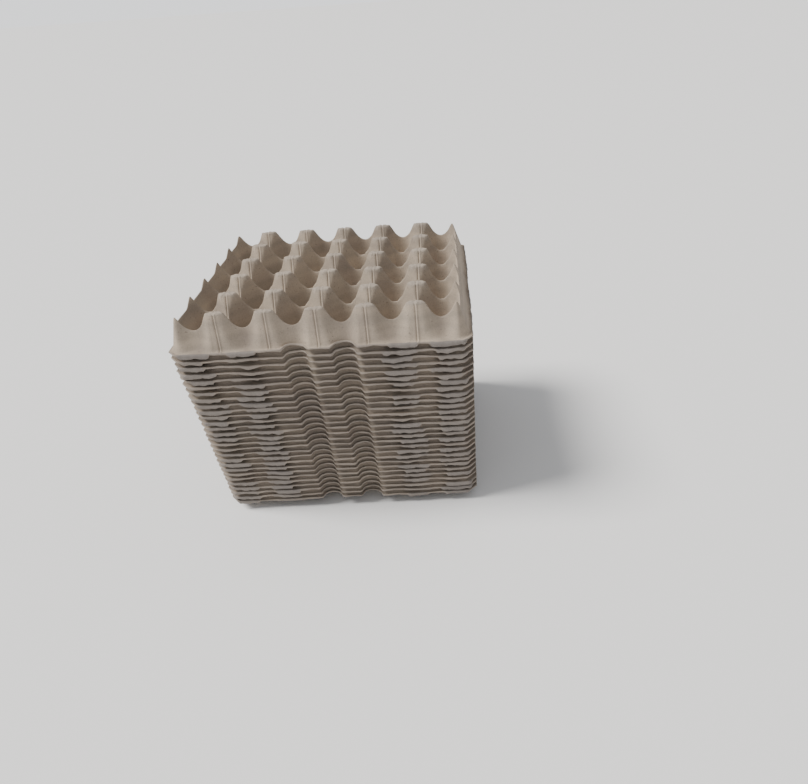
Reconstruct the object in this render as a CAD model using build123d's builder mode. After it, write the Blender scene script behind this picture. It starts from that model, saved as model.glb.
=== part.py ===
"""A stack of nested moulded-pulp egg trays.

Each tray is one moulded sheet of pulp: conical cells that run into each other,
hollow posts between them, a sloping apron round the outside and a thin rim.
Every wall leans by the same draft, so the trays sit in one another, wall on
wall, and the stack grows by one nesting step for each tray. +Z is up, the
front is the -Y side, and the origin is under the middle of the stack, on the
plane that the lowest cells stand on.
"""
from build123d import *
import math
import os

# --- driving dimensions, in millimetres and degrees ---
tray_count = 28
columns = 6                  # cells along X
rows = 5                     # cells along Y
column_pitch = 47.5
row_pitch = 46.5
tray_height = 46.0           # cell underside to post top
wall = 2.1                   # pulp thickness, square to the wall
draft = 19.65                # lean of every wall from the vertical, degrees
seat_gap = 0.29              # room between nested walls, square to the wall

floor_radius = 13.0          # inside radius of a cell's flat floor
end_margin = 5.0             # from the end cells' pitch square to the rim's edge, along X
side_margin = 16.25          # the same along Y, where the apron stands clear of the cells
rim_height = 14.0            # top of the rim above the cell undersides
rim_reach = 2.5              # how far the rim stands out from the apron
rim_corner = 9.0             # chamfer at the corners of rim and apron
end_ridge_drop = 9.0         # from the post tops down to the ridge along the two short sides

flute_radius = 14.0          # hollows down the two long sides, at rim height
flute_depth = 7.0            # how far they go into the apron
notch_columns = (2, 3)       # cells whose flute runs on through the front rim

# --- worked out from the driving dimensions ---
rim_length = columns * column_pitch + 2 * end_margin
rim_width = rows * row_pitch + 2 * side_margin
end_ridge_height = tray_height - end_ridge_drop
lean = math.tan(math.radians(draft))                # sideways run per unit of height
level_wall = wall / math.cos(math.radians(draft))   # wall measured level
nest_step = (wall + seat_gap) / math.sin(math.radians(draft))
apron_length = rim_length - 2 * rim_reach           # at rim height
apron_width = rim_width - 2 * rim_reach
end_wall_x = apron_length / 2 - (end_ridge_height - rim_height) * lean
flute_y = apron_width / 2 - flute_depth + flute_radius
overrun = 5.0                                       # cutters run on this far past what they cut


def column_x(column):
    """X of the centre of a column of cells."""
    return (column - (columns - 1) / 2) * column_pitch


def upright_cone(radius, level, bottom, top):
    """A cone that has `radius` at height `level` and widens upward by the draft."""
    Cone(
        radius + (bottom - level) * lean,
        radius + (top - level) * lean,
        top - bottom,
        align=(Align.CENTER, Align.CENTER, Align.MIN),
    )


def cell_cones(spread, bottom, top):
    """One cone for every cell, `spread` outside the inner face of its wall."""
    with Locations((0, 0, bottom)):
        with GridLocations(column_pitch, row_pitch, columns, rows):
            upright_cone(floor_radius + spread, wall, bottom, top)


def keep_between_end_walls(spread, bottom, top):
    """Cuts the end cells off at the leaning end walls, moved out by `spread`."""
    low_x = end_wall_x + spread + (bottom - end_ridge_height) * lean
    high_x = end_wall_x + spread + (top - end_ridge_height) * lean
    with BuildSketch(Plane.XZ.offset(-rim_width)) as slice_between:
        Polygon((-low_x, bottom), (low_x, bottom), (high_x, top), (-high_x, top), align=None)
    extrude(slice_between.sketch, amount=2 * rim_width, mode=Mode.INTERSECT)


def apron_block(inset, bottom, top):
    """All that lies inside the apron, `inset` in from its outer faces."""
    half_growth = (rim_height - bottom) * lean - inset
    with BuildSketch(Plane.XY.offset(bottom)) as footprint:
        Rectangle(apron_length + 2 * half_growth, apron_width + 2 * half_growth)
        chamfer(footprint.vertices(), rim_corner)
    extrude(footprint.sketch, amount=top - bottom, taper=draft)


def flute_cones(spread, bottom, top):
    """The hollows that run down both long sides, `spread` larger all round."""
    for column in range(columns):
        for side in (-1, 1):
            with Locations((column_x(column), side * flute_y, bottom)):
                upright_cone(flute_radius + spread, rim_height, bottom, top)


with BuildPart() as cell_cavities:
    cell_cones(0, wall, tray_height + overrun)
    keep_between_end_walls(0, wall, tray_height + overrun)

with BuildPart() as cell_shells:
    cell_cones(level_wall, 0, tray_height)
    keep_between_end_walls(level_wall, 0, tray_height)

with BuildPart() as outer_flutes:
    flute_cones(0, rim_height, tray_height + overrun)

with BuildPart() as flute_walls:
    flute_cones(level_wall, rim_height - wall, tray_height + overrun)

# Everything inside the apron's outer face, and the hollow behind the apron.
with BuildPart() as apron_outside:
    apron_block(0, 0, tray_height)
    add(outer_flutes.part, mode=Mode.SUBTRACT)

with BuildPart() as apron_hollow:
    apron_block(level_wall, 0, tray_height - wall)
    add(flute_walls.part, mode=Mode.SUBTRACT)

with BuildPart() as rim_notches:
    for column in notch_columns:
        with Locations((column_x(column), -flute_y, 0)):
            upright_cone(flute_radius, rim_height, 0, rim_height + overrun)

# The cell walls, cut off where they would come through the apron.
with BuildPart() as clipped_shells:
    add(cell_shells.part)
    add(apron_outside.part, mode=Mode.INTERSECT)

# One tray: apron and rim, then the cell walls, then the cells cut out of both.
with BuildPart() as moulded_tray:
    apron_block(0, rim_height - wall, tray_height)
    with BuildSketch(Plane.XY.offset(rim_height - wall)) as rim_outline:
        Rectangle(rim_length, rim_width)
        chamfer(rim_outline.vertices(), rim_corner)
    extrude(rim_outline.sketch, amount=wall)
    add(outer_flutes.part, mode=Mode.SUBTRACT)
    add(apron_hollow.part, mode=Mode.SUBTRACT)
    add(clipped_shells.part)
    add(rim_notches.part, mode=Mode.SUBTRACT)
    add(cell_cavities.part, mode=Mode.SUBTRACT)

print(f"nesting step {nest_step:.3f} mm, one tray {moulded_tray.part.volume / 1000:.0f} cm3")
print(f"stack {tray_height + (tray_count - 1) * nest_step:.1f} mm high")

os.makedirs("parts", exist_ok=True)
for level in range(tray_count):
    name = f"tray_{level + 1:02d}"
    with BuildPart() as tray:
        add(moulded_tray.part.moved(Location((0, 0, level * nest_step))))
    tray.part.label = name
    export_step(tray.part, f"parts/{name}.step")
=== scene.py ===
"""Looks of the stack of nested moulded-pulp egg trays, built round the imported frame.

Each tray is one closed pulp sheet. Its two skins come from the height of the
sheet over the plan: cones for the cells, leaning walls for the apron, cones
again for the flutes down the long sides. The rim, with its thick torn lips,
closes the sheet all round. Lengths are in metres.
"""
import math

import bmesh
import bpy
import numpy as np
from mathutils import Matrix, Vector


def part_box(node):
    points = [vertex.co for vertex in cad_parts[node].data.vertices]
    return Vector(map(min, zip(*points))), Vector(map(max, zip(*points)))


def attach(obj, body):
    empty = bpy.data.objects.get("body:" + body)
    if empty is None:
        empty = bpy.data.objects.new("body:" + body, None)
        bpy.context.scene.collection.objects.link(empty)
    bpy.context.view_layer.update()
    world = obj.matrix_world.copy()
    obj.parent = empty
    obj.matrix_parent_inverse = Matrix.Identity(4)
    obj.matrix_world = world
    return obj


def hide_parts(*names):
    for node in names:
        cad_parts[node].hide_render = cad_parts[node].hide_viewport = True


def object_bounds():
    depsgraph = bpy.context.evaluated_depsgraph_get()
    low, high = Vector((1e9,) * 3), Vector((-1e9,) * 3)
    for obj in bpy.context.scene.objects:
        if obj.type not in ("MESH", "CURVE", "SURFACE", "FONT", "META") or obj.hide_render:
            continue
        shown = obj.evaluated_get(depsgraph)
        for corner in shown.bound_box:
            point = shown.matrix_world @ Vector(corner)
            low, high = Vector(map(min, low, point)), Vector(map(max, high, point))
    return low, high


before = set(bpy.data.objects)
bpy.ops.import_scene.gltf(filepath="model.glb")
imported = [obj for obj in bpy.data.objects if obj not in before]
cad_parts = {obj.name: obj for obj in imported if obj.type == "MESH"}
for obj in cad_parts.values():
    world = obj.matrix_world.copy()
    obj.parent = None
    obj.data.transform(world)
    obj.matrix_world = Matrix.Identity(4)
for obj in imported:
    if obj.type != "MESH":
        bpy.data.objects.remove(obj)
cad_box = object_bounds()

# --- the tray's own sizes ---
MM = 0.001
COLUMNS = 6
ROWS = 5
COLUMN_PITCH = 47.5 * MM
ROW_PITCH = 46.5 * MM
WALL = 2.1 * MM                  # pulp thickness, square to the wall
DRAFT = math.radians(19.65)      # lean of every wall from the vertical
FLOOR_RADIUS = 13.0 * MM
RIM_HEIGHT = 14.0 * MM           # top of the rim above the cell undersides
RIM_REACH = 2.5 * MM             # rim outside the apron
RIM_CORNER = 9.0 * MM
END_RIDGE_DROP = 9.0 * MM        # from the post tops to the ridge along the short sides
FLUTE_RADIUS = 14.0 * MM
FLUTE_DEPTH = 7.0 * MM
FLUTE_FADE = 3.0 * MM            # how much shallower a closed flute is at the rim
FLUTE_FADE_HEIGHT = 10.0 * MM
NOTCH_COLUMNS = (2, 3)           # front flutes that run on through the rim
NOTCH_FLANGE = 1.2 * MM

POST_FACET = 1.09                # the posts' flat faces cut this far into the round cells

# --- softness of the moulded edges: height over which two faces are blended ---
RIDGE_BLEND = 6.5 * MM
CREST_BLEND = 4.8 * MM
CAP_BLEND = 1.6 * MM
FLOOR_BLEND = 9.0 * MM
FLUTE_BLEND = 9.0 * MM
CORNER_BLEND = 8.0 * MM
FACET_BLEND = 0.8 * MM
FOOT_BLEND = 4.0 * MM

# --- saddles between neighbours along X: a flat strip that carries the seam ---
SADDLE_FLOOR = 25.5 * MM
SADDLE_SLOPE = 1.45
SADDLE_ROUND = 6.0 * MM
SADDLE_HALF_WIDTH = 7.0 * MM
SLOT_HALF_WIDTH = 4.0 * MM       # shallow dip in the middle of the other ridges
SLOT_DEPTH = 1.2 * MM
STEEP = 4.0                      # slope of the sides of saddle strip and slot

# --- surface of the top tray ---
SEAM_RIDGE = 0.7 * MM            # each seam is a ridge with a groove to its left
SEAM_GROOVE = 0.8 * MM
SEAM_WIDTH = 0.55 * MM
SEAM_RIDGE_PLACE = 0.8 * MM      # to the right of the column line
SEAM_GROOVE_PLACE = 0.6 * MM     # to the left of it
SEAM_WANDER = 0.4 * MM
FACET_OFFSET = 8.0 * MM          # faint edge on the apron, to the left of each seam
FACET_EDGE = 0.5 * MM
FACET_EDGE_WIDTH = 0.9 * MM
FLUTE_SHADE = 0.75               # how much painted shade goes down the middle of a flute

# --- rims: waves, thickness and the torn lips that hang from them ---
MID_CELL_DIP = 0.9 * MM          # the rim is lower beside the middle of a cell
POST_LIFT = 0.35 * MM
NOTCH_LIFT = 2.4 * MM            # and arches up over the open notches
THICKEST_LIP = 5.6 * MM
LIP_HANG = 3.1 * MM
LIP_RAGGED = 1.7 * MM
LIP_BULGE = 0.4 * MM
LIP_STRENGTHS = (0.35, 0.8, 1.0, 1.0)
SHIFT = 0.1 * MM                 # how far a tray may sit off the middle of the stack

# --- colours, linear ---
PULP_LIGHT = (0.44, 0.37, 0.295, 1)
PULP_SHADE = (0.355, 0.295, 0.24, 1)
FLECK = (0.26, 0.215, 0.18, 1)
CROWN_GREY = (0.37, 0.325, 0.28, 1)
# grey of the torn lips, made darker still as painted shade on the rims' outer and under faces
TORN_GREY_AND_RIM_SHADE = (0.235, 0.212, 0.197, 1)
# painted shade under the rims, in the slits between the trays and down the top tray's flutes
RECESS_SHADE = (0.10, 0.083, 0.075, 1)
FLOOR_WHITE = (0.9, 0.9, 0.9, 1)

# --- how finely a tray is drawn ---
TOP_POINTS = 28                  # along a cell's side, on the top tray
OTHER_POINTS = 24
CROWDING = 0.7                   # how far the top tray's points gather at its posts
FINE_FLOOR_RINGS = (5 * MM, 9 * MM, 12 * MM)
FINE_WALL_SHARES = (0.2, 0.4, 0.58, 0.74, 0.88, 1.0)
FINE_TOP_SHARES = (0.3, 0.65)
APRON_ROWS = (0.03, 0.07, 0.13, 0.21, 0.32, 0.44, 0.57, 0.7, 0.83)
FOOT_ROWS = (3.75 * MM, 2.6 * MM, 1.7 * MM, 1.0 * MM, 0.4 * MM, 0.0)
LEDGE_ROWS = (0.3, 0.6, 0.85, 1.0)
NOSE_ANGLES = (35, 70, 105, 140, 172)
UNDER_RIM_ROWS = ((0.9 * MM, 0.92), (1.5 * MM, 0.5))   # distance in, share of the lip left
INNER_ROWS = (0.0, 3.0 * MM)
WELD = 0.002 * MM

# --- sizes read from the frame ---
tray_names = sorted(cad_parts)
low, high = (np.array(corner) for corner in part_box(tray_names[0]))
tray_height = high[2] - low[2]
rim_half = (high[:2] - low[:2]) / 2
apron_half = rim_half - RIM_REACH
lean = math.tan(DRAFT)
wall_drop = WALL / math.sin(DRAFT)       # upright distance between the two skins of a wall
level_wall = WALL / math.cos(DRAFT)
end_ridge = tray_height - END_RIDGE_DROP
end_wall_x = apron_half[0] - (end_ridge - RIM_HEIGHT) * lean
flute_y = apron_half[1] - FLUTE_DEPTH + FLUTE_RADIUS
column_x = (np.arange(COLUMNS) - (COLUMNS - 1) / 2) * COLUMN_PITCH
row_y = (np.arange(ROWS) - (ROWS - 1) / 2) * ROW_PITCH
cap_radius = FLOOR_RADIUS + (tray_height - WALL) * lean   # cell radius at post-top height


# ---------------------------------------------------------------- helpers
def soft_min(a, b, blend):
    """The smaller of two heights, rounded where they cross."""
    near = np.maximum(blend - np.abs(a - b), 0) / blend
    return np.minimum(a, b) - near * near * blend / 4


def soft_max(a, b, blend):
    """The larger of two heights, rounded where they cross."""
    return -soft_min(-a, -b, blend)


def step_up(x, start, end):
    """0 before start, 1 after end, smooth between."""
    t = np.clip((x - start) / (end - start), 0, 1)
    return t * t * (3 - 2 * t)


def bell(x, width):
    """A smooth bump of height 1 at zero."""
    return np.exp(-((x / width) ** 2))


def noise(x, y, size, seed):
    """Smooth random heights from -1 to 1 over the plan, one knot every `size`."""
    knots = np.random.default_rng(seed).uniform(-1, 1, (64, 64))
    u, v = x / size + 1000, y / size + 1000
    i, j = np.floor(u).astype(int), np.floor(v).astype(int)
    fu, fv = u - i, v - j
    fu, fv = fu * fu * (3 - 2 * fu), fv * fv * (3 - 2 * fv)
    near = knots[i % 64, j % 64] * (1 - fu) + knots[(i + 1) % 64, j % 64] * fu
    far = knots[i % 64, (j + 1) % 64] * (1 - fu) + knots[(i + 1) % 64, (j + 1) % 64] * fu
    return near * (1 - fv) + far * fv


def solve(gap, start, end):
    """Where along each start-to-end line the gap falls through zero, as a share of it."""
    before, after = np.zeros(len(start)), np.ones(len(start))
    for _ in range(40):
        middle = (before + after) / 2
        point = start + (end - start) * middle[:, None]
        inside = gap(point[:, 0], point[:, 1]) > 0
        before, after = np.where(inside, middle, before), np.where(inside, after, middle)
    return before


# ---------------------------------------------------------------- height of the sheet
def nearest_offset(value, centres):
    """Distance from each value to the nearest of the centres, signed."""
    offsets = value[:, None] - centres[None, :]
    return offsets[np.arange(len(value)), np.abs(offsets).argmin(axis=1)]


def cell_height(x, y, under):
    """The cells and the ridges and posts between them; under is 1 for the lower skin."""
    height = np.full(x.shape, 1.0)
    for cx in column_x:
        for cy in row_y:
            reach = np.hypot(x - cx, y - cy)
            facet = POST_FACET * (np.abs(x - cx) + np.abs(y - cy)) / math.sqrt(2)
            cone = WALL + (soft_max(reach, facet, FACET_BLEND) - FLOOR_RADIUS) / lean
            height = soft_min(height, cone, RIDGE_BLEND)
    end_wall = end_ridge + (np.abs(x) - end_wall_x) / lean
    height = soft_max(height, end_wall, CREST_BLEND) - under * wall_drop
    # the strip over each saddle, and the slot in the middle of each cross ridge
    off_line = np.abs(nearest_offset(x, column_x[:-1] + COLUMN_PITCH / 2))
    off_row = np.abs(nearest_offset(y, row_y[:-1] + ROW_PITCH / 2))
    across = np.abs(nearest_offset(y, row_y))
    strip = SADDLE_FLOOR + SADDLE_SLOPE * (np.hypot(across, SADDLE_ROUND) - SADDLE_ROUND)
    strip = strip + STEEP * np.maximum(off_line - SADDLE_HALF_WIDTH, 0)
    height = soft_min(height, strip - under * 1.7 * WALL, CAP_BLEND)
    ridge = WALL + (ROW_PITCH / 2 - FLOOR_RADIUS) / lean - RIDGE_BLEND / 4
    beside = np.abs(nearest_offset(x, column_x))
    slot = ridge - SLOT_DEPTH + STEEP * np.maximum(beside - SLOT_HALF_WIDTH, 0)
    slot = slot + STEEP * np.maximum(off_row - SLOT_HALF_WIDTH, 0)
    height = soft_min(height, slot - under * WALL, CAP_BLEND)
    height = soft_max(height, WALL * (1 - under) + 0 * x, FLOOR_BLEND * (1 - 0.7 * under))
    return soft_min(height, tray_height - under * WALL + 0 * x, CAP_BLEND)


def outer_height(x, y, under):
    """The apron all round, its chamfered corners and the flutes down the long sides."""
    side_x = RIM_HEIGHT + (apron_half[0] - np.abs(x)) / lean
    side_y = RIM_HEIGHT + (apron_half[1] - np.abs(y)) / lean
    corner = apron_half.sum() - RIM_CORNER - np.abs(x) - np.abs(y)
    corner = RIM_HEIGHT + corner / (lean * math.sqrt(2))
    height = soft_min(soft_min(side_x, side_y, CORNER_BLEND), corner, CORNER_BLEND)
    for column, cx in enumerate(column_x):
        rise = (np.hypot(x - cx, np.abs(y) - flute_y) - FLUTE_RADIUS) / lean
        fade = FLUTE_FADE / lean
        eased = (rise + fade) / (1 + fade / FLUTE_FADE_HEIGHT)
        closed = np.where(rise < FLUTE_FADE_HEIGHT, np.maximum(rise, eased), rise)
        open_here = (y < 0) & (column in NOTCH_COLUMNS)
        flute = RIM_HEIGHT + np.where(open_here, rise, closed)
        height = soft_min(height, flute, FLUTE_BLEND)
    return height - under * wall_drop


def sheet_height(x, y, under=0):
    """Height of the tray's upper skin over the plan, or of its lower skin."""
    outer = soft_max(outer_height(x, y, under), RIM_HEIGHT - under * WALL + 0 * x, FOOT_BLEND)
    return soft_min(cell_height(x, y, under), outer, CREST_BLEND)


# ---------------------------------------------------------------- plan of one tray
def crest_gap(x, y):
    """Positive inside the ridge that runs round the tray, negative on the apron."""
    return outer_height(x, y, 0) - cell_height(x, y, 0)


def foot_gap(x, y):
    """Positive on the apron, negative outside the line where it meets the rim."""
    return outer_height(x, y, 0) - RIM_HEIGHT


def line_up(along, across, turned):
    """Plan points from coordinates along and across a line that runs in X, or in Y if turned."""
    across = np.broadcast_to(across, np.shape(along))
    return np.stack([across, along] if turned else [along, across], axis=1)


def crest_at(along, turned):
    """How far out the crest lies at places along a side of the tray."""
    start = line_up(along, column_x[-1] if turned else row_y[-1], turned)
    end = line_up(along, rim_half[0 if turned else 1], turned)
    share = solve(crest_gap, start, end)
    return (start + (end - start) * share[:, None])[:, 0 if turned else 1]


corner_rim = rim_half - RIM_CORNER / 2
corner_cell = np.array([column_x[-1], row_y[-1]])
corner_share = solve(crest_gap, corner_cell[None], corner_rim[None])[0]
corner_crest = corner_cell + (corner_rim - corner_cell) * corner_share


class Plan:
    """Where the points of a tray lie in plan, with `count` points along each cell's side."""

    def __init__(self, count, crowding=0.0):
        self.count = count
        t = np.linspace(0, 1, count + 1)
        self.shares = t - crowding * np.sin(2 * math.pi * t) / (2 * math.pi)
        self.x_lines = [self.line(j, False) for j in range(ROWS + 1)]
        self.y_lines = [self.line(i, True) for i in range(COLUMNS + 1)]

    def knots(self, turned, end):
        """Places along a line of cells that ends at plus and minus `end`."""
        centres, pitch = (row_y, ROW_PITCH) if turned else (column_x, COLUMN_PITCH)
        marks = np.concatenate([[-end], centres[:-1] + pitch / 2, [end]])
        spans = [a + (b - a) * self.shares[:-1] for a, b in zip(marks[:-1], marks[1:])]
        return np.concatenate(spans + [[end]])

    def line(self, number, turned):
        """The points of one line of the plan: the outer two are crests, the rest ridges."""
        centres, pitch = (column_x, COLUMN_PITCH) if turned else (row_y, ROW_PITCH)
        if number in (0, len(centres)):
            along = self.knots(turned, corner_crest[1 if turned else 0])
            side = -1 if number == 0 else 1
            return line_up(along, side * crest_at(along, turned), turned)
        across = centres[number] - pitch / 2
        end = crest_at(np.array([across]), not turned)[0]
        return line_up(self.knots(turned, end), across, turned)

    def cell_loop(self, i, j):
        """The boundary of one cell, anticlockwise from its low corner."""
        n = self.count
        bottom = self.x_lines[j][i * n:(i + 1) * n + 1]
        top = self.x_lines[j + 1][i * n:(i + 1) * n + 1]
        left = self.y_lines[i][j * n:(j + 1) * n + 1]
        right = self.y_lines[i + 1][j * n:(j + 1) * n + 1]
        return np.concatenate([bottom[:-1], right[:-1], top[:0:-1], left[:0:-1]])

    def crest_loop(self):
        """The crest round the whole tray, anticlockwise from its low corner."""
        x_lines, y_lines = self.x_lines, self.y_lines
        return np.concatenate(
            [x_lines[0][:-1], y_lines[-1][:-1], x_lines[-1][:0:-1], y_lines[0][:0:-1]]
        )


class Border:
    """The columns that run from the crest down the apron to the rim, all round a tray."""

    def __init__(self, plan):
        self.crest = plan.crest_loop()
        across = COLUMNS * plan.count
        upward = ROWS * plan.count
        order = np.repeat([0, 1, 0, 1], [across, upward, across, upward])
        turned = order == 1
        along = np.where(turned, self.crest[:, 1], self.crest[:, 0])
        last = np.where(turned, row_y[-1] - ROW_PITCH / 2, column_x[-1] - COLUMN_PITCH / 2)
        end = np.where(turned, corner_crest[1], corner_crest[0])
        far = np.where(turned, corner_rim[1], corner_rim[0])
        past = np.maximum(np.abs(along) - last, 0) * (far - last) / (end - last)
        along = np.sign(along) * (np.minimum(np.abs(along), last) + past)
        half = np.where(turned, rim_half[0], rim_half[1])
        other = np.where(turned, rim_half[1], rim_half[0])
        cut = np.maximum(np.abs(along) - (other - RIM_CORNER), 0)
        side = np.repeat([-1, 1, 1, -1], [across, upward, across, upward])
        out = side * (half - cut)
        self.rim = np.stack([np.where(turned, out, along), np.where(turned, along, out)], axis=1)
        step = self.rim - self.crest
        self.reach = np.linalg.norm(step, axis=1)
        self.outward = step / self.reach[:, None]
        self.foot = solve(foot_gap, self.crest, self.rim) * self.reach
        # the rim runs in along the open notches
        centres = column_x[list(NOTCH_COLUMNS)]
        beside = np.abs(self.rim[:, :1] - centres[None]).min(axis=1)
        front = (side < 0) & ~turned
        beyond = step_up(beside, 0.6 * FLUTE_RADIUS, 0.98 * FLUTE_RADIUS)
        self.notch = np.where(front, 1 - beyond, 0)
        circle = np.sqrt(np.maximum((FLUTE_RADIUS - NOTCH_FLANGE) ** 2 - beside ** 2, 0))
        notched = flute_y - circle
        back = np.where(front & (circle > 0), np.maximum(rim_half[1] - notched, 0), 0)
        self.edge = np.maximum(self.reach - back, self.foot + 0.8 * MM)
        steps = np.linalg.norm(np.diff(self.rim, axis=0), axis=1)
        self.length = np.concatenate([[0], np.cumsum(steps)])
        nearest_x = nearest_offset(self.rim[:, 0], column_x)
        nearest_y = nearest_offset(self.rim[:, 1], row_y)
        self.beside = np.where(turned, nearest_y, nearest_x)
        pitch = np.where(turned, ROW_PITCH, COLUMN_PITCH)
        number = np.round((along - self.beside) / pitch * 2).astype(int)
        self.cell = number + 40 * order + 100 * (side > 0)
        # where the top tray's front and back flutes get painted shade: most down each flute's
        # middle
        self.fluted = np.where(turned, 0, bell(self.beside - 2 * MM, 0.5 * FLUTE_RADIUS))

    def at(self, distance):
        """Plan points `distance` out from the crest, one for each column."""
        return self.crest + self.outward * np.broadcast_to(distance, self.reach.shape)[:, None]


# ---------------------------------------------------------------- surface detail
def relief(points, height):
    """How far the moulded surface stands off its smooth form: seams, rough tops, dents."""
    x, y = points[:, 0], points[:, 1]
    lines = column_x[:-1] + COLUMN_PITCH / 2
    off = nearest_offset(x, lines) + SEAM_WANDER * noise(y, x * 0, 12 * MM, 3)
    seam = SEAM_RIDGE * bell(off - SEAM_RIDGE_PLACE, SEAM_WIDTH)
    seam = seam - SEAM_GROOVE * bell(off + SEAM_GROOVE_PLACE, SEAM_WIDTH)
    apron = step_up(np.abs(y), row_y[-1] + 20 * MM, row_y[-1] + 25 * MM)
    seam = seam + apron * FACET_EDGE * bell(off + FACET_OFFSET, FACET_EDGE_WIDTH)
    crown = step_up(height, tray_height - 2.2 * MM, tray_height - 0.7 * MM)
    rough = crown * MM * (0.3 * noise(x, y, 1.7 * MM, 5) + 0.35 * noise(x, y, 3.6 * MM, 6))
    dents = MM * (0.22 * noise(x, y, 14 * MM, 7) + 0.07 * noise(x, y, 3.0 * MM, 8))
    return seam + rough + dents, crown


def skin(points, under, detailed):
    """Points of a skin in space and their crown, torn and painted-shade masks, one row each."""
    x, y = points[:, 0], points[:, 1]
    z = sheet_height(x, y, under)
    if not detailed:
        return np.column_stack([x, y, z, 0 * x, 0 * x, 0 * x])
    small = 0.25 * MM
    slope_x = (sheet_height(x + small, y, under) - sheet_height(x - small, y, under)) / (2 * small)
    slope_y = (sheet_height(x, y + small, under) - sheet_height(x, y - small, under)) / (2 * small)
    normal = np.column_stack([-slope_x, -slope_y, np.ones(len(x))])
    normal /= np.linalg.norm(normal, axis=1)[:, None]
    rise, crown = relief(points, z)
    place = np.column_stack([x, y, z]) + normal * rise[:, None]
    return np.column_stack([place, crown, 0 * x, 0 * x])


# ---------------------------------------------------------------- building a tray
class Sheet:
    """Rows of points and the faces between them, gathered into one mesh."""

    def __init__(self):
        self.points, self.faces, self.total = [], [], 0

    def add(self, rows):
        """Adds points and returns their numbers."""
        self.points.append(rows)
        numbers = np.arange(self.total, self.total + len(rows))
        self.total += len(rows)
        return numbers

    def join(self, inner, outer, flip):
        """A strip of quads between two closed rings of the same count."""
        quads = np.stack([inner, outer, np.roll(outer, -1), np.roll(inner, -1)], axis=1)
        self.faces += (quads[:, ::-1] if flip else quads).tolist()

    def stitch(self, coarse, dense, flip):
        """A strip of triangles from a coarse ring to one with a whole multiple of its points."""
        split = len(dense) // len(coarse)
        if split == 1:
            self.join(coarse, dense, flip)
            return
        dense = np.append(dense, dense[0])
        following = np.roll(coarse, -1)
        triangles = []
        for k, (here, there) in enumerate(zip(coarse, following)):
            for m in range(split):
                near = here if m < split // 2 else there
                triangles.append((near, dense[k * split + m], dense[k * split + m + 1]))
            triangles.append((here, dense[k * split + split // 2], there))
        self.faces += [t[::-1] if flip else t for t in triangles]

    def cell(self, centre, loop, fine, under):
        """One cell: rings from the middle of its floor out to its boundary."""
        detailed = fine and not under
        arm = loop - centre
        reach = np.linalg.norm(arm, axis=1)
        edge = np.minimum(cap_radius, reach - 1.2 * MM)
        radii = [0 * reach + r for r in FINE_FLOOR_RINGS] if fine else []
        base = FLOOR_RADIUS + 2.0 * MM
        radii += [0 * reach + base]
        wall_shares, top_shares = (FINE_WALL_SHARES, FINE_TOP_SHARES) if fine else ((), ())
        radii += [base + (edge - 0.9 * MM - base) * share for share in wall_shares]
        radii += [edge] + [edge + (reach - edge) * share for share in top_shares]
        middle = self.add(skin(centre[None], under, detailed))[0]
        rings = []
        for radius in radii:
            rings.append(self.add(skin(centre + arm * (radius / reach)[:, None], under, detailed)))
        rings.append(self.add(skin(loop, under, detailed)))
        first = rings[0]
        fan = np.stack([np.full(len(first), middle), first, np.roll(first, -1)], axis=1)
        self.faces += (fan[:, ::-1] if under else fan).tolist()
        for inner, outer in zip(rings[:-1], rings[1:]):
            self.join(inner, outer, bool(under))


def lips(border, seed):
    """The rim's shape at each column: its rise, thickness, bulge, and how torn it is."""
    draw = np.random.default_rng(seed)
    s = border.length
    line = 0 * s
    mid = bell(border.beside, 15 * MM)
    wave = MM * (0.6 * noise(s, line, 26 * MM, seed) + 0.35 * noise(s, line, 9 * MM, seed + 1))
    rise = wave + (POST_LIFT - MID_CELL_DIP * mid) + NOTCH_LIFT * border.notch
    thick = WALL * (1.0 + 0.38 * noise(s, line, 9 * MM, seed + 2))
    swell = 0.45 * noise(s, line, 24 * MM, seed + 6) + 0.2 * noise(s, line, 5 * MM, seed + 3)
    bulge = MM * (0.6 + swell) + draw.uniform(-0.4, 0.5) * MM
    torn = np.zeros(len(s))
    ragged = 0.6 * noise(s, line, 5 * MM, seed + 4) + 0.4 * noise(s, line, 2.6 * MM, seed + 5)
    for cell in np.unique(border.cell):
        here = border.cell == cell
        if (here & (border.notch > 0.01)).any():
            continue
        # the right half mirrors the left
        beside = border.beside[here] * np.where(border.rim[here, 0] > 0, -1, 1)
        start = draw.uniform(-27, -17) * MM
        end = draw.uniform(2, 13) * MM
        strength = draw.choice(LIP_STRENGTHS) * draw.uniform(0.8, 1.0)
        begun = step_up(beside, start, start + 3 * MM)
        over = step_up(beside, end, end + 1.6 * MM)
        torn[here] = begun * (1 - over) * strength
    hang = torn * (LIP_HANG + LIP_RAGGED * ragged)
    return rise, np.minimum(thick + hang, THICKEST_LIP), bulge + LIP_BULGE * torn, torn


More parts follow.
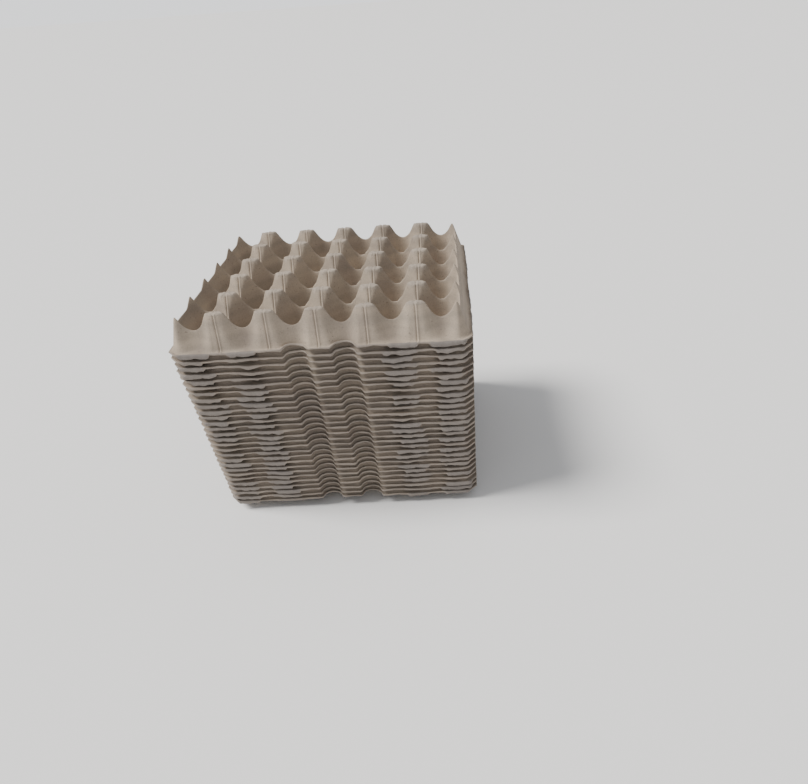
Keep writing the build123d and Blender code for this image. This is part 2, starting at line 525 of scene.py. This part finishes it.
def tray_mesh(name, dense, top_split, under_split, crowding, fine_top, fine_under, seed):
    """One tray as a closed mesh in its own frame.

    The rim has `dense` points along each cell's side, the skins that many over their split.
    """
    sheet = Sheet()
    top_plan = Plan(dense // top_split, crowding)
    under_plan = Plan(dense // under_split, crowding)
    border = Border(Plan(dense, crowding))
    for i, cx in enumerate(column_x):
        for j, cy in enumerate(row_y):
            centre = np.array([cx, cy])
            sheet.cell(centre, top_plan.cell_loop(i, j), fine_top, 0)
            sheet.cell(centre, under_plan.cell_loop(i, j), fine_under, 1)

    rise, thick, bulge, torn = lips(border, seed)
    # the torn lips' grey, at half strength all along the rim, is also painted shade on the rims'
    # outer faces
    torn_grey_and_rim_shade = 0.5 + 0.5 * torn
    last = border.foot - FOOT_ROWS[0]
    rows = [border.at(last * share) for share in (APRON_ROWS if fine_top else ())]
    rows += [border.at(border.foot - back) for back in FOOT_ROWS]
    rows += [border.at(border.foot + (border.edge - border.foot) * share) for share in LEDGE_ROWS]
    ring = sheet.add(skin(top_plan.crest_loop(), 0, fine_top))
    for number, row in enumerate(rows):
        points = skin(row, 0, fine_top)
        out = len(rows) - 1 - number
        lift = max(1 - out / len(LEDGE_ROWS), 0)
        points[:, 2] += rise * lift
        points[:, 4] = torn_grey_and_rim_shade * (out == 0)
        # painted shade: down the flutes on the top tray, and on the other trays over the apron and
        # ledge in the slits between rims, fading out at the rim's edge
        points[:, 5] = FLUTE_SHADE * border.fluted if fine_top else 1 - lift ** 3
        dense_ring = sheet.add(points)
        sheet.stitch(ring, dense_ring, True)
        ring = dense_ring

    edge = border.at(border.edge)
    top = RIM_HEIGHT + rise
    roughness = noise(border.length, 0 * border.length, 2.2 * MM, seed + 9)
    ragged_out = MM * (0.25 + 0.4 * torn) * roughness
    for angle in NOSE_ANGLES:
        turn = math.radians(angle)
        out = (bulge + ragged_out) * math.sin(turn)
        place = edge + border.outward * out[:, None]
        z = top - thick / 2 * (1 - math.cos(turn))
        # painted shade on the lower half of the rim's nose, growing towards its underside
        painted_shade = 0 * z + max((angle - 90) / 90, 0)
        nose = sheet.add(np.column_stack([place, z, 0 * z, torn_grey_and_rim_shade, painted_shade]))
        sheet.join(ring, nose, True)
        ring = nose
    # under the rim: full painted shade
    for back, share in UNDER_RIM_ROWS:
        place = edge - border.outward * back
        z = top - WALL - (thick - WALL) * share
        below = sheet.add(np.column_stack([place, z, 0 * z, torn_grey_and_rim_shade, 0 * z + 1]))
        sheet.join(ring, below, True)
        ring = below
    inner = border.foot - level_wall
    for back in INNER_ROWS:
        inside = sheet.add(skin(border.at(inner - back), 1, False))
        sheet.join(ring, inside, True)
        ring = inside
    crest = sheet.add(skin(under_plan.crest_loop(), 1, False))
    sheet.stitch(crest, ring, False)

    points = np.concatenate(sheet.points)
    mesh = bpy.data.meshes.new(name)
    mesh.from_pydata(points[:, :3].tolist(), [], sheet.faces)
    # the torn mask also carries the painted shade on the rims; the last mask is painted shade
    # under the rims, in the slits and down the flutes
    for label, column in (("crown", 3), ("torn", 4), ("painted_shade", 5)):
        mask = mesh.attributes.new(label, "FLOAT", "POINT")
        mask.data.foreach_set("value", points[:, column])
    welded = bmesh.new()
    welded.from_mesh(mesh)
    bmesh.ops.remove_doubles(welded, verts=welded.verts, dist=WELD)
    bmesh.ops.recalc_face_normals(welded, faces=welded.faces)
    welded.to_mesh(mesh)
    welded.free()
    mesh.shade_smooth()
    return mesh


# ---------------------------------------------------------------- pulp
def pulp_material():
    """Grey-beige pulp: mottled, with fibres, flecks, rough crowns and torn lips.

    The masks on the mesh say where: crown on the post tops; torn along the rims, where the grey is
    partly painted shade on the rims' outer faces;
    and painted shade under the rims, in the slits between them and down the flutes.
    """
    material = bpy.data.materials.new("moulded_pulp")
    material.use_nodes = True
    tree = material.node_tree
    nodes, links = tree.nodes, tree.links
    shader = nodes["Principled BSDF"]
    place = nodes.new("ShaderNodeTexCoord")

    def texture(scale, detail, roughness=0.5, stretch=(1, 1, 1)):
        mapping = nodes.new("ShaderNodeMapping")
        mapping.inputs["Scale"].default_value = stretch
        links.new(place.outputs["Object"], mapping.inputs["Vector"])
        cloud = nodes.new("ShaderNodeTexNoise")
        cloud.inputs["Scale"].default_value = scale
        cloud.inputs["Detail"].default_value = detail
        cloud.inputs["Roughness"].default_value = roughness
        links.new(mapping.outputs["Vector"], cloud.inputs["Vector"])
        return cloud.outputs["Fac"]

    def ramp(source, stops):
        node = nodes.new("ShaderNodeValToRGB")
        node.color_ramp.elements[0].position, node.color_ramp.elements[0].color = stops[0]
        node.color_ramp.elements[1].position, node.color_ramp.elements[1].color = stops[-1]
        for position, color in stops[1:-1]:
            node.color_ramp.elements.new(position).color = color
        links.new(source, node.inputs["Fac"])
        return node.outputs["Color"]

    def mix(factor, first, second, kind="MIX"):
        node = nodes.new("ShaderNodeMix")
        node.data_type, node.blend_type = "RGBA", kind
        for value, number in ((factor, 0), (first, 6), (second, 7)):
            socket = node.inputs[number]
            if isinstance(value, (int, float, tuple)):
                socket.default_value = value
            else:
                links.new(value, socket)
        return node.outputs[2]

    def attribute(label):
        node = nodes.new("ShaderNodeAttribute")
        node.attribute_name = label
        return node.outputs["Fac"]

    def scaled(source, factor, add_to=None):
        node = nodes.new("ShaderNodeMath")
        node.operation = "MULTIPLY_ADD" if add_to is not None else "MULTIPLY"
        links.new(source, node.inputs[0])
        node.inputs[1].default_value = factor
        if add_to is not None:
            links.new(add_to, node.inputs[2])
        return node.outputs[0]

    crown, torn, painted_shade = attribute("crown"), attribute("torn"), attribute("painted_shade")
    broad = ramp(texture(22, 3), [(0.3, PULP_SHADE), (0.7, PULP_LIGHT)])
    batches = ramp(
        texture(7, 1, 0.5, (1, 1, 14)),
        [(0.35, (0.86, 0.87, 0.88, 1)), (0.65, (1.1, 1.09, 1.07, 1))],
    )
    broad = mix(1.0, broad, batches, "MULTIPLY")
    grain = ramp(
        texture(900, 3, 0.6),
        [(0.3, (0.86, 0.86, 0.86, 1)), (0.72, (1.08, 1.07, 1.06, 1))],
    )
    color = mix(1.0, broad, grain, "MULTIPLY")
    flecks = ramp(texture(520, 2, 0.4), [(0.27, (1, 1, 1, 1)), (0.33, (0, 0, 0, 1))])
    color = mix(flecks, color, FLECK)
    color = mix(scaled(crown, 0.45), color, CROWN_GREY)
    # torn lips greyer, and the rims darker with painted shade
    color = mix(scaled(torn, 0.9), color, TORN_GREY_AND_RIM_SHADE)
    # painted shade under the rims, in the slits and down the flutes
    color = mix(scaled(painted_shade, 0.42), color, RECESS_SHADE)
    links.new(color, shader.inputs["Base Color"])

    rough = nodes.new("ShaderNodeMapRange")
    rough.inputs["To Min"].default_value = 0.82
    rough.inputs["To Max"].default_value = 0.98
    links.new(texture(160, 2), rough.inputs["Value"])
    links.new(rough.outputs["Result"], shader.inputs["Roughness"])
    shader.inputs["Specular IOR Level"].default_value = 0.2

    fibres = scaled(texture(420, 4, 0.6, (1, 0.35, 1)), 1.0)
    fibres = scaled(texture(1300, 2, 0.5), 0.45, fibres)
    for scale, mask, depth in ((700, torn, 2.5), (600, crown, 1.5)):
        coarse = nodes.new("ShaderNodeMath")
        coarse.operation = "MULTIPLY"
        links.new(texture(scale, 3, 0.7), coarse.inputs[0])
        links.new(mask, coarse.inputs[1])
        fibres = scaled(coarse.outputs[0], depth, fibres)
    bump = nodes.new("ShaderNodeBump")
    bump.inputs["Strength"].default_value = 0.55
    bump.inputs["Distance"].default_value = 0.45 * MM
    links.new(fibres, bump.inputs["Height"])
    links.new(bump.outputs["Normal"], shader.inputs["Normal"])
    return material


# ---------------------------------------------------------------- the stack
pulp = pulp_material()
shake = np.random.default_rng(28)


def add_tray(number, node):
    """The looks of one tray, in place of its CAD node."""
    first, last = number == 0, number == len(tray_names) - 1
    if first:
        under_split = 2
    elif last:
        under_split = 4
    else:
        under_split = 6
    mesh = tray_mesh(
        f"pulp_{node}",
        dense=TOP_POINTS if last else OTHER_POINTS,
        top_split=1 if last else 4,
        under_split=under_split,
        crowding=CROWDING if last else 0.0,
        fine_top=last,
        fine_under=first,
        seed=100 + 17 * number,
    )
    mesh.materials.append(pulp)
    piece = bpy.data.objects.new(f"pulp_{node}", mesh)
    bpy.context.scene.collection.objects.link(piece)
    shift = shake.uniform(-SHIFT, SHIFT, 2)
    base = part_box(node)[0][2]
    mesh.transform(Matrix.Translation((shift[0], shift[1], base)))
    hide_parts(node)
    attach(piece, "root")


for number, node in enumerate(tray_names):
    add_tray(number, node)

# ---------------------------------------------------------------- floor, light, camera
floor_mesh = bpy.data.meshes.new("floor")
FLOOR_HALF = 40.0
signs = ((-1, -1), (1, -1), (1, 1), (-1, 1))
corners = [(a * FLOOR_HALF, b * FLOOR_HALF, 0) for a, b in signs]
floor_mesh.from_pydata(corners, [], [(0, 1, 2, 3)])
floor = bpy.data.objects.new("floor", floor_mesh)
paper = bpy.data.materials.new("pale_floor")
paper.use_nodes = True
paper_shader = paper.node_tree.nodes["Principled BSDF"]
paper_shader.inputs["Base Color"].default_value = FLOOR_WHITE
paper_shader.inputs["Roughness"].default_value = 0.9
floor_mesh.materials.append(paper)
floor.location.z = cad_box[0][2]
bpy.context.scene.collection.objects.link(floor)

world = bpy.data.worlds.new("studio")
bpy.context.scene.world = world
world.use_nodes = True
sky, sky_links = world.node_tree.nodes, world.node_tree.links
sky["Background"].inputs["Color"].default_value = (0.97, 0.98, 1.0, 1)
SKY_LIGHT = 0.5
BACKDROP = 1.4                   # what the camera sees of the sky, as bright as the floor
rays = sky.new("ShaderNodeLightPath")
level = sky.new("ShaderNodeMath")
level.operation = "MULTIPLY_ADD"
level.inputs[1].default_value = BACKDROP - SKY_LIGHT
level.inputs[2].default_value = SKY_LIGHT
sky_links.new(rays.outputs["Is Camera Ray"], level.inputs[0])
sky_links.new(level.outputs[0], sky["Background"].inputs["Strength"])


def soft_sun(name, towards, strength, spread, color):
    """A sun whose light travels along `towards`, with soft shadows."""
    lamp = bpy.data.lights.new(name, "SUN")
    lamp.energy = strength
    lamp.angle = math.radians(spread)
    lamp.color = color
    holder = bpy.data.objects.new(name, lamp)
    holder.rotation_euler = Vector(towards).to_track_quat("-Z", "Y").to_euler()
    bpy.context.scene.collection.objects.link(holder)


soft_sun("key", (0.66, 0.0, -0.82), 4.4, 24, (1.0, 0.975, 0.94))

# The photograph's viewing angle: the eye, and the directions across and up the picture.
EYE = (0.1306, -0.6117, 0.4494)
AHEAD = (-0.0248, 0.7262, -0.6870)
ACROSS = (0.9985, -0.0149, -0.0518)
SENSOR = 36.0
FOCAL_RATIO = 0.6741             # focal length over the width of the picture
lens = bpy.data.cameras.new("camera")
lens.sensor_width = SENSOR
lens.lens = SENSOR * FOCAL_RATIO
lens.shift_x = -0.0562
lens.shift_y = 0.1356
lens.clip_start = 0.01
camera = bpy.data.objects.new("camera", lens)
back = -Vector(AHEAD).normalized()
up = back.cross(Vector(ACROSS)).normalized()
across = up.cross(back)
turn = Matrix((across, up, back)).transposed()
camera.matrix_world = Matrix.Translation(EYE) @ turn.to_4x4()
bpy.context.scene.collection.objects.link(camera)
bpy.context.scene.camera = camera
